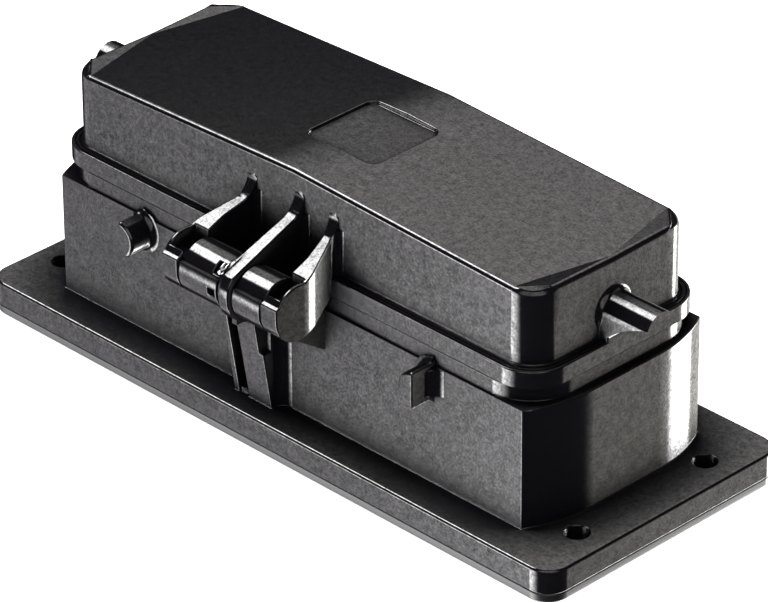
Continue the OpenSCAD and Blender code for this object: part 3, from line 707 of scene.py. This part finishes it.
@dataclass
class Shell:
    """Points and faces of a computed piece, gathered part by part."""

    points: list[np.ndarray] = field(default_factory=list)
    faces: list[list[int]] = field(default_factory=list)
    count: int = 0

    def add(self, points: np.ndarray, faces: Sequence[Sequence[int]]) -> None:
        """Adds a part.

        Args:
            points: The part's points, shape (n, 3).
            faces: Its faces, in the part's own point numbers.
        """
        self.points.append(points)
        self.faces.extend([[int(k) + self.count for k in face] for face in faces])
        self.count += len(points)

    def add_revolved(self, profile: np.ndarray, axis: np.ndarray, place: np.ndarray,
                     steps: int, start: float = 0.0, sweep: float = 2 * math.pi) -> None:
        """Adds a closed profile turned about an axis.

        A profile point (r, h) goes to place + h * axis + r * (cos t * u + sin t * v),
        where u and v complete the axis to a right-handed frame. A part turn gets two
        flat end faces.

        Args:
            profile: Radii and heights, walked anticlockwise, shape (n, 2).
            axis: Unit vector of the axis.
            place: Where height 0 of the axis lies.
            steps: Number of steps around.
            start: First angle.
            sweep: Angle swept.
        """
        helper = np.array([1.0, 0, 0]) if abs(axis[0]) < 0.9 else np.array([0, 1.0, 0])
        u = np.cross(helper, axis)
        u /= np.linalg.norm(u)
        v = np.cross(axis, u)
        whole = sweep > 2 * math.pi - 1e-6
        turn = start + sweep * np.arange(steps if whole else steps + 1) / steps
        ring = np.cos(turn)[:, None] * u + np.sin(turn)[:, None] * v
        points = place + profile[None, :, 1:2] * axis + profile[None, :, 0:1] * ring[:, None, :]
        faces = grid_faces(len(turn), len(profile), whole, True).tolist()
        if not whole:
            faces.append(list(range(len(profile)))[::-1])
            faces.append([(len(turn) - 1) * len(profile) + k for k in range(len(profile))])
        self.add(points.reshape(-1, 3), faces)

    def add_swept(self, path: np.ndarray, side: np.ndarray, radii: np.ndarray, sides: int) -> None:
        """Adds a round rod along a path.

        The circle at each path point lies in the plane across the path's direction,
        and side, cleared of that direction, starts the circle.

        Args:
            path: Path points, shape (n, 3).
            side: A vector that is never along the path.
            radii: The rod's radius at each path point.
            sides: Points around the rod.
        """
        heading = np.gradient(path, axis=0)
        heading /= np.linalg.norm(heading, axis=1, keepdims=True)
        u = side - (heading @ side)[:, None] * heading
        u /= np.linalg.norm(u, axis=1, keepdims=True)
        v = np.cross(heading, u)
        turn = 2 * math.pi * np.arange(sides) / sides
        across, along = np.cos(turn)[None, :, None], np.sin(turn)[None, :, None]
        ring = across * u[:, None, :] + along * v[:, None, :]
        points = path[:, None, :] + radii[:, None, None] * ring
        faces = grid_faces(len(path), sides, False, True)[:, ::-1].tolist()
        faces.append(list(range(sides))[::-1])
        faces.append([(len(path) - 1) * sides + k for k in range(sides)])
        self.add(points.reshape(-1, 3), faces)

    def finish(self, name: str, node: str, body: Body, slot: Slot, palette: Palette,
               smooth: float = 40.0) -> bpy.types.Object:
        """Makes the piece's object, lets it ride its body and paints it.

        Args:
            name: The piece's name.
            node: The CAD node it stands for.
            body: The body it rides.
            slot: Its finish.
            palette: The finishes.
            smooth: Edges sharper than this many degrees stay sharp.

        Returns:
            The new piece.
        """
        mesh = bpy.data.meshes.new(name)
        mesh.from_pydata(np.concatenate(self.points).tolist(), [], self.faces)
        work = bmesh.new()
        work.from_mesh(mesh)
        bmesh.ops.remove_doubles(work, verts=work.verts, dist=SHELL_WELD)
        bmesh.ops.recalc_face_normals(work, faces=work.faces)
        work.to_mesh(mesh)
        work.free()
        mesh.shade_smooth()
        mesh.set_sharp_from_angle(angle=math.radians(smooth))
        piece = bpy.data.objects.new(name, mesh)
        bpy.context.scene.collection.objects.link(piece)
        palette.paint(piece, slot)
        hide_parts(node)
        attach(piece, body.value)
        return piece


# ---------------------------------------------------------------- moulded parts

# Outlines and heights of the CAD that the rules below go by
COVER_PLAN = RoundedPlan(115.2 * MM, 38.8 * MM, 5.3 * MM)
RIM_PLAN = RoundedPlan(119.6 * MM, 43.2 * MM, 7.5 * MM)
FLANGE_PLAN = RoundedPlan(142.6 * MM, 58.8 * MM, 4.6 * MM)
RIM_SEAL_PLAN = RoundedPlan(114.9 * MM, 39.3 * MM, 7.65 * MM)
HINGE_AXIS = np.array([0.0, -32.1, 35.3]) * MM
HINGE_REACH = 14.5 * MM
ROOF_LOW = 46.0 * MM
RIM_TOP = 36.4 * MM
COVER_FOOT = 33.1 * MM
FLANGE_TOP = 6.5 * MM

# How far off its place a point may lie and still count as on it
NEAR = 0.1 * MM
SLACK = 0.05 * MM

# Welding: points nearer than the gap join, and faces within the angle become one
WELD_GAP = 0.002 * MM
FLAT_ANGLE = math.radians(0.3)

# A face looks up above LEVEL, and the roof's tilted halves lie below FLAT_UP too
LEVEL = 0.99
FLAT_UP = 0.9999

# A fold is an edge between two nearly level faces that meet at more than this
FOLD_ANGLE = math.radians(1.2)
FOLD_LEVEL = 0.94

# Cover: the groove lies this deep inside the rim's outline, near the rim's top
GROOVE_DEEP, GROOVE_SHALLOW = -2.0 * MM, -0.3 * MM
GROOVE_RISE = 0.3 * MM
GROOVE_STEEP = math.radians(60)
# Cover: how far from the wall the arms' roots reach, and an edge that ends on it
ROOT_REACH = 2.0 * MM
ROOT_END = 0.6 * MM
PEG_TIP = 61.0 * MM

# Housing: the knuckles' lips about the hinge axis
LIP_REACH = 5.6 * MM
LIP_RISE = 2.2 * MM
# Housing: where the side pegs and the hinge's webs meet the wall
PEG_X = 37.0 * MM
PEG_HALF = 6 * MM
PEG_Z = 26 * MM
PEG_RISE = 5 * MM
PEG_NEAR_Y, WEB_NEAR_Y, WALL_FAR_Y = 20 * MM, 18 * MM, 23 * MM

def settle_normals(mesh: bpy.types.Mesh, broad: float = 2.5 * MM, level_broad: float = 1.2 * MM,
                   reach: float = math.radians(30), ridge: bool = False) -> None:
    """Gives flat faces and the corners next to them the flat face's own normal.

    A face is flat when its area over its longest edge is more than broad, or level_broad
    for a face that looks straight up. Every corner takes the normal of the flat face at
    its point that is nearest to its own face's normal, if that lies within reach, and
    keeps its smooth normal otherwise.

    Args:
        mesh: The mesh to change.
        broad: Least width of a flat face.
        level_broad: Least width of a flat level face.
        reach: Widest angle to a flat neighbour.
        ridge: Whether the roof's corners on its ridge at x = 0 keep their smooth normals.
    """
    count = len(mesh.loops)
    point_of = read(mesh.loops, "vertex_index", kind=np.int32)
    edge_of = read(mesh.loops, "edge_index", kind=np.int32)
    sizes = read(mesh.polygons, "loop_total", kind=np.int32)
    faces = read(mesh.polygons, "normal", 3)
    places = read(mesh.vertices, "co", 3)
    first, second = places[read(mesh.edges, "vertices", 2, np.int32)].transpose(1, 0, 2)
    length = np.linalg.norm(first - second, axis=1)[edge_of]
    longest = np.maximum(np.maximum.reduceat(length, starts_of(sizes)), 1e-9)
    width = read(mesh.polygons, "area") / longest
    flat = width > np.where(faces[:, 2] > LEVEL, level_broad, broad)
    smooth_normals = read(mesh.corner_normals, "vector", 3)
    result = smooth_normals.copy()

    face_of = np.repeat(np.arange(len(sizes)), sizes)
    order = np.argsort(point_of, kind="stable")
    group = np.bincount(point_of, minlength=len(mesh.vertices))
    group_start = np.repeat(starts_of(group), group)
    group_size = np.repeat(group, group)
    rank = np.arange(count) - group_start
    own = face_of[order]
    best = np.full(count, math.cos(reach))
    for shift in range(int(group.max())):
        other = face_of[order[group_start + (rank + shift) % group_size]]
        match = (faces[own] * faces[other]).sum(1)
        better = flat[other] & (match > best)
        best[better] = match[better]
        result[order[better]] = faces[other[better]]
    if ridge:
        x, _, z = places[point_of].T
        top = (np.abs(x) < SLACK) & (z > ROOF_LOW) & (faces[face_of, 2] > LEVEL)
        result[top] = smooth_normals[top]
    mesh.normals_split_custom_set(result.tolist())


@dataclass
class MouldedCopy:
    """A CAD node's welded copy with rounded edges, standing for that node.

    Attributes:
        node: The CAD node.
        body: The body it rides.
        slot: Its finish.
        width: The rounding at weight 1.
        usual: The weight of an edge that no rule names.
        segments: Steps across a rounding.
        sharp: The angle from which an edge is rounded.
        rules: A function from the edge table and the usual weights to the final weights.
        ridge: Half the width over which the roof turns at its ridge, or 0 for no ridge.
    """

    node: str
    body: Body
    slot: Slot
    width: float = 0.3 * MM
    usual: float = 1.0
    segments: int = 3
    sharp: float = math.radians(28)
    rules: Optional[Callable[[EdgeTable, np.ndarray], np.ndarray]] = None
    ridge: float = 0.0

    def build(self, palette: Palette) -> bpy.types.Object:
        """Copies, welds, flattens and bevels the node.

        Args:
            palette: The finishes.

        Returns:
            The new piece.
        """
        source = frame["nodes"][self.node]
        mesh = source.data.copy()
        mesh.name = self.node + "_moulded"
        piece = bpy.data.objects.new(mesh.name, mesh)
        bpy.context.scene.collection.objects.link(piece)
        self.weld(piece)
        table = EdgeTable.measure(mesh)
        weights = (table.angle > self.sharp) * self.usual
        if self.rules is not None:
            weights = self.rules(table, weights)
        layer = mesh.attributes.new("bevel_weight_edge", "FLOAT", "EDGE")
        layer.data.foreach_set("value", weights.astype(np.float32))
        mesh.shade_smooth()
        folds = (table.level > FOLD_LEVEL) & (table.angle > FOLD_ANGLE)
        if self.ridge:
            folds &= np.abs(table.ends[..., 0]).max(axis=1) > SLACK
        crease = mesh.attributes.new("sharp_edge", "BOOLEAN", "EDGE")
        crease.data.foreach_set("value", folds | ((table.angle > self.sharp) & (weights == 0)))
        bevel = piece.modifiers.new("Rounding", "BEVEL")
        bevel.limit_method = "WEIGHT"
        bevel.width = self.width
        bevel.segments = self.segments
        bevel.use_clamp_overlap = False
        bevel.loop_slide = False
        bevel.harden_normals = False
        smooth = piece.modifiers.new("Shading", "WEIGHTED_NORMAL")
        smooth.keep_sharp = True
        graph = bpy.context.evaluated_depsgraph_get()
        rounded = bpy.data.meshes.new_from_object(piece.evaluated_get(graph))
        piece.modifiers.clear()
        piece.data = rounded
        settle_normals(rounded, ridge=self.ridge > 0)
        palette.paint(piece, self.slot)
        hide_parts(self.node)
        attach(piece, self.body.value)
        LOG.info("%s: %d faces before rounding", piece.name, len(mesh.polygons))
        return piece

    def weld(self, piece: bpy.types.Object) -> None:
        """Merges split vertices, joins coplanar triangles and cuts the roof by its ridge.

        Args:
            piece: The copy to change.
        """
        work = bmesh.new()
        work.from_mesh(piece.data)
        bmesh.ops.remove_doubles(work, verts=work.verts, dist=WELD_GAP)
        bmesh.ops.dissolve_limit(work, angle_limit=FLAT_ANGLE, verts=work.verts, edges=work.edges)
        for x in (-self.ridge, self.ridge) if self.ridge else ():
            roof = [f for f in work.faces
                    if LEVEL < f.normal.z < FLAT_UP and f.verts[0].co.z > ROOF_LOW]
            edges = dict.fromkeys(e for f in roof for e in f.edges)
            parts = roof + list(edges) + list(dict.fromkeys(v for f in roof for v in f.verts))
            bmesh.ops.bisect_plane(work, geom=parts, plane_co=(x, 0, 0), plane_no=(1, 0, 0))
        work.to_mesh(piece.data)
        work.free()
        for name in ("custom_normal", "sharp_face", "sharp_edge"):
            attribute = piece.data.attributes.get(name)
            if attribute is not None:
                piece.data.attributes.remove(attribute)


def cover_rounding(table: EdgeTable, weights: np.ndarray) -> np.ndarray:
    """Rounds the cover's upper edge widely, and leaves grooves, roots and tips alone.

    Args:
        table: The cover's edges.
        weights: Their usual weights.

    Returns:
        The final weights.
    """
    middle = table.ends.mean(axis=1)
    low_z = table.ends[..., 2].min(axis=1)
    on_wall = np.abs(COVER_PLAN.distance(table.ends)).max(axis=1) < NEAR
    top_edge = on_wall & (low_z > ROOF_LOW) & (weights > 0)
    depth = RIM_PLAN.distance(middle)
    groove = (depth < GROOVE_SHALLOW) & (depth > GROOVE_DEEP) & (table.angle > GROOVE_STEEP)
    groove &= np.abs(middle[:, 2] - RIM_TOP) < GROOVE_RISE
    from_wall = -COVER_PLAN.width / 2 - table.ends[..., 1]
    root = ((from_wall < ROOT_REACH) & (from_wall > -SLACK)).all(axis=1)
    root |= ((from_wall < ROOT_END) & (from_wall > -SLACK)).any(axis=1)
    root &= (np.abs(middle[:, 0]) < HINGE_REACH) & ~top_edge
    low = table.ends[..., 2].max(axis=1) < COVER_FOOT + NEAR
    tip = (np.abs(table.ends[..., 0]) > PEG_TIP).any(axis=1)
    return np.where(groove | root | low | tip, 0.0, np.where(top_edge, 1.0, weights))


def housing_rounding(table: EdgeTable, weights: np.ndarray) -> np.ndarray:
    """Rounds the flange's upper edge more, and leaves the knuckles' lips, pegs and webs sharp.

    Args:
        table: The housing's edges.
        weights: Their usual weights.

    Returns:
        The final weights.
    """
    middle = table.ends.mean(axis=1)
    outer = np.abs(FLANGE_PLAN.distance(table.ends)).max(axis=1) < NEAR
    upper = outer & (np.abs(middle[:, 2] - FLANGE_TOP) < NEAR)
    arm = middle[:, 1:] - HINGE_AXIS[1:]
    lip = (np.linalg.norm(arm, axis=1) < LIP_REACH) & (np.abs(arm[:, 1] - LIP_RISE) < NEAR)
    x, y, z = np.abs(table.ends[..., 0]), np.abs(table.ends[..., 1]), table.ends[..., 2]
    beside = (y < WALL_FAR_Y) & (np.abs(z - PEG_Z) < PEG_RISE)
    peg = (np.abs(x - PEG_X) < PEG_HALF) & (y > PEG_NEAR_Y)
    web = (x < HINGE_REACH) & (y > WEB_NEAR_Y)
    weights = np.where(upper & (weights > 0), 1.0, weights)
    return np.where(lip | (beside & (peg | web)).any(axis=1), 0.0, weights)


MOULDED_PARTS = (
    MouldedCopy("cover", Body.COVER, Slot.COVER, 0.9 * MM, usual=0.3, rules=cover_rounding,
                ridge=7.0 * MM),
    MouldedCopy("base_housing", Body.BASE, Slot.BODY, 0.55 * MM, usual=0.45,
                rules=housing_rounding),
    MouldedCopy("panel_seal", Body.BASE, Slot.SEAL, 0.3 * MM),
    MouldedCopy("contact_insert", Body.BASE, Slot.INSERT, 0.25 * MM, segments=2),
    *(MouldedCopy(f"{kind}_{row}", Body.BASE, Slot.STEEL, width * MM, segments=2)
      for kind, width in (("cages", 0.2), ("terminal_screws", 0.15)) for row in ("front", "back")),
    *(MouldedCopy(f"fixing_screw_{k}", Body.BASE, Slot.STEEL, 0.25 * MM) for k in range(1, 5)),
    *(MouldedCopy(f"bush_{k}", Body.BASE, Slot.BRASS, 0.15 * MM) for k in range(1, 5)),
    *(MouldedCopy(f"{kind}_{end}", Body.BASE, slot, 0.15 * MM) for end in ("left", "right")
      for kind, slot in (("earth_plate", Slot.STEEL), ("earth_clamp", Slot.BRASS),
                         ("earth_screw", Slot.STEEL), ("earth_nut", Slot.BRASS))),
)


# ---------------------------------------------------------------- computed parts

@dataclass
class HingeHardware:
    """The hinge pin and the torsion spring around the hinge axis.

    Attributes:
        chamfer_middle: A point on the pin's chamfer, in shares of it.
        pitch: Advance of the coil in one turn.
        steps: Steps in one turn of the coil.
        leg_shares: Where the leg's points lie, in shares of its length.
        start_share: Share of the wire's radius at the coil's start.
        end_shares: The same at the leg's last two points.
    """

    pin_radius: float = 1.5 * MM
    pin_chamfer: float = 0.35 * MM
    chamfer_middle: tuple[float, float] = (0.3, 0.35)
    pin_steps: int = 64
    wire_radius: float = 0.4 * MM
    coil_radius: float = 3.1 * MM
    pitch: float = 0.86 * MM
    turns: int = 2
    leg: float = 4.2 * MM
    steps: int = 48
    wire_sides: int = 20
    leg_shares: tuple[float, ...] = (0.25, 0.5, 0.75, 0.92, 0.97, 1.0)
    start_share: float = 0.8
    end_shares: tuple[float, float] = (0.92, 0.7)

    def build_pin(self, palette: Palette) -> bpy.types.Object:
        """Turns the pin with chamfered ends about the hinge axis.

        Args:
            palette: The finishes.

        Returns:
            The new piece.
        """
        reach = max(abs(corner[0]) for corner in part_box("hinge_pin"))
        r, c = self.pin_radius, self.pin_chamfer
        inward, down = self.chamfer_middle
        half = [(0.0, reach), (r - c, reach), (r - inward * c, reach - down * c), (r, reach - c)]
        profile = np.array(half + [(a, -b) for a, b in half[::-1]])
        shell = Shell()
        shell.add_revolved(profile, np.array([1.0, 0, 0]), HINGE_AXIS, self.pin_steps)
        return shell.finish("hinge_pin_turned", "hinge_pin", Body.BASE, Slot.STEEL, palette)

    def build_spring(self, palette: Palette) -> bpy.types.Object:
        """Winds the spring: a helix from the top of the coil, and a straight leg at its end.

        At turn t the wire's middle is at x0 + pitch * t along the axis and at the angle
        90 degrees + 360 t around it. The leg runs on along the helix's last direction,
        and the wire narrows at both ends.

        Args:
            palette: The finishes.

        Returns:
            The new piece.
        """
        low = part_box("torsion_spring")[0][0]
        turn = np.linspace(0, self.turns, self.turns * self.steps + 1)
        angle = math.pi / 2 + 2 * math.pi * turn
        coil = np.stack([low + self.wire_radius + self.pitch * turn,
                         HINGE_AXIS[1] + self.coil_radius * np.cos(angle),
                         HINGE_AXIS[2] + self.coil_radius * np.sin(angle)], axis=1)
        heading = coil[-1] - coil[-2]
        heading /= np.linalg.norm(heading)
        share = np.array(self.leg_shares)
        path = np.concatenate([coil, coil[-1] + self.leg * share[:, None] * heading])
        radii = np.full(len(path), self.wire_radius)
        radii[[-2, -1]] *= self.end_shares
        radii[0] *= self.start_share
        shell = Shell()
        shell.add_swept(path, np.array([1.0, 0, 0]), radii, self.wire_sides)
        return shell.finish("torsion_spring_wire", "torsion_spring", Body.BASE, Slot.SPRING, palette)

    def build(self, palette: Palette) -> None:
        """Makes both pieces.

        Args:
            palette: The finishes.
        """
        self.build_pin(palette)
        self.build_spring(palette)


@dataclass
class SocketRow:
    """One row of slit socket contacts.

    Attributes:
        side: -1 for the row nearer the hinge, 1 for the other.
        columns: Contacts in the row.
        pitch: Distance between neighbours.
        offset: Distance of the row from the middle.
        outer: Outer radius.
        bore: Bore radius.
        foot: Height of the lower end.
        mouth: Height of the open end.
        depth: Depth of the bore.
        slit: Height where the fingers part.
        gap: Angle of a slit.
        lip: Size of the rounded and flared mouth.
        drill_point: Depth of the cone at the bore's end.
        overlap: How far the fingers reach into the foot.
    """

    side: int
    columns: int = 12
    pitch: float = 7.3 * MM
    offset: float = 6.5 * MM
    outer: float = 1.85 * MM
    bore: float = 1.25 * MM
    foot: float = 20.5 * MM
    mouth: float = 33.5 * MM
    depth: float = 9.0 * MM
    slit: float = 27.0 * MM
    fingers: int = 4
    gap: float = math.radians(14)
    lip: float = 0.35 * MM
    chamfer: float = 0.3 * MM
    drill_point: float = 0.6 * MM
    overlap: float = 0.05 * MM
    steps: int = 32
    finger_steps: int = 8

    def build(self, palette: Palette) -> bpy.types.Object:
        """Turns each contact: a whole foot, and above the slits the part-turned fingers.

        Args:
            palette: The finishes.

        Returns:
            The new piece.
        """
        up = np.array([0.0, 0, 1.0])
        outer, bore, mouth, lip = self.outer, self.bore, self.mouth, self.lip
        floor, root = mouth - self.depth, self.slit - self.overlap
        foot = np.array([(0, self.foot), (outer - self.chamfer, self.foot),
                         (outer, self.foot + self.chamfer), (outer, self.slit),
                         (bore, self.slit), (bore, floor), (0, floor - self.drill_point)])
        # The mouth is rounded outside and flared inside, in shares of the lip
        finger = np.array([(bore, root), (outer, root), (outer, mouth - lip),
                           (outer - 0.2 * lip, mouth - 0.2 * lip), (outer - 0.6 * lip, mouth),
                           (bore + lip, mouth), (bore, mouth - 1.4 * lip)])
        shell = Shell()
        quarter = 2 * math.pi / self.fingers
        for column in range(self.columns):
            x = (column - (self.columns - 1) / 2) * self.pitch
            place = np.array([x, self.side * self.offset, 0.0])
            shell.add_revolved(foot, up, place, self.steps)
            for k in range(self.fingers):
                shell.add_revolved(finger, up, place, self.finger_steps,
                                   quarter * k + self.gap / 2, quarter - self.gap)
        node = "contacts_front" if self.side < 0 else "contacts_back"
        return shell.finish(node + "_sockets", node, Body.BASE, Slot.CONTACT, palette)


@dataclass
class LippedSeal:
    """The seal in the collar's groove, with two lips along its top.

    Attributes:
        foot_share: Width of the underside, as a share of the width across the lips.
        valley: Depth of the dips between and beside the lips.
        across: Points across the top.
    """

    half_width: float = 0.7 * MM
    foot: float = 31.2 * MM
    foot_share: float = 0.8
    crest: float = 33.0 * MM
    valley: float = 0.35 * MM
    corner_steps: int = 24
    across: int = 17

    def build(self, palette: Palette) -> bpy.types.Object:
        """Carries the section around the groove.

        Across the width, u runs from -1 to 1 and the top stands at the crest less
        valley * cos(pi u) squared, which gives a lip on each side of the middle.

        Args:
            palette: The finishes.

        Returns:
            The new piece.
        """
        u = np.linspace(-1, 1, self.across)
        top = self.crest - self.valley * np.cos(math.pi * u) ** 2
        under = self.half_width * self.foot_share
        offsets = np.concatenate([self.half_width * u, [under, -under]])
        heights = np.concatenate([top, [self.foot, self.foot]])
        line, normal = RIM_SEAL_PLAN.outline(self.corner_steps)
        plan = line[:, None, :] + offsets[None, :, None] * normal[:, None, :]
        tall = np.broadcast_to(heights[None, :, None], plan.shape[:2] + (1,))
        points = np.concatenate([plan, tall], axis=2).reshape(-1, 3)
        shell = Shell()
        shell.add(points, grid_faces(len(line), len(offsets), True, True).tolist())
        return shell.finish("rim_seal_lipped", "rim_seal", Body.BASE, Slot.SEAL, palette)


def write_sizes() -> None:
    def plain(box: object) -> list[list[float]]:
        return [[float(v) for v in corner] for corner in box]


def main() -> None:
    """Builds the studio and dresses every part."""
    logging.basicConfig(level=logging.INFO, format="%(name)s: %(message)s")
    palette = Palette()
    palette.build()
    palette.paint_cad()
    Studio().build()
    for part in (*MOULDED_PARTS, HingeHardware(), SocketRow(-1), SocketRow(1), LippedSeal()):
        part.build(palette)
    write_sizes()


if __name__ == "__main__":
    main()
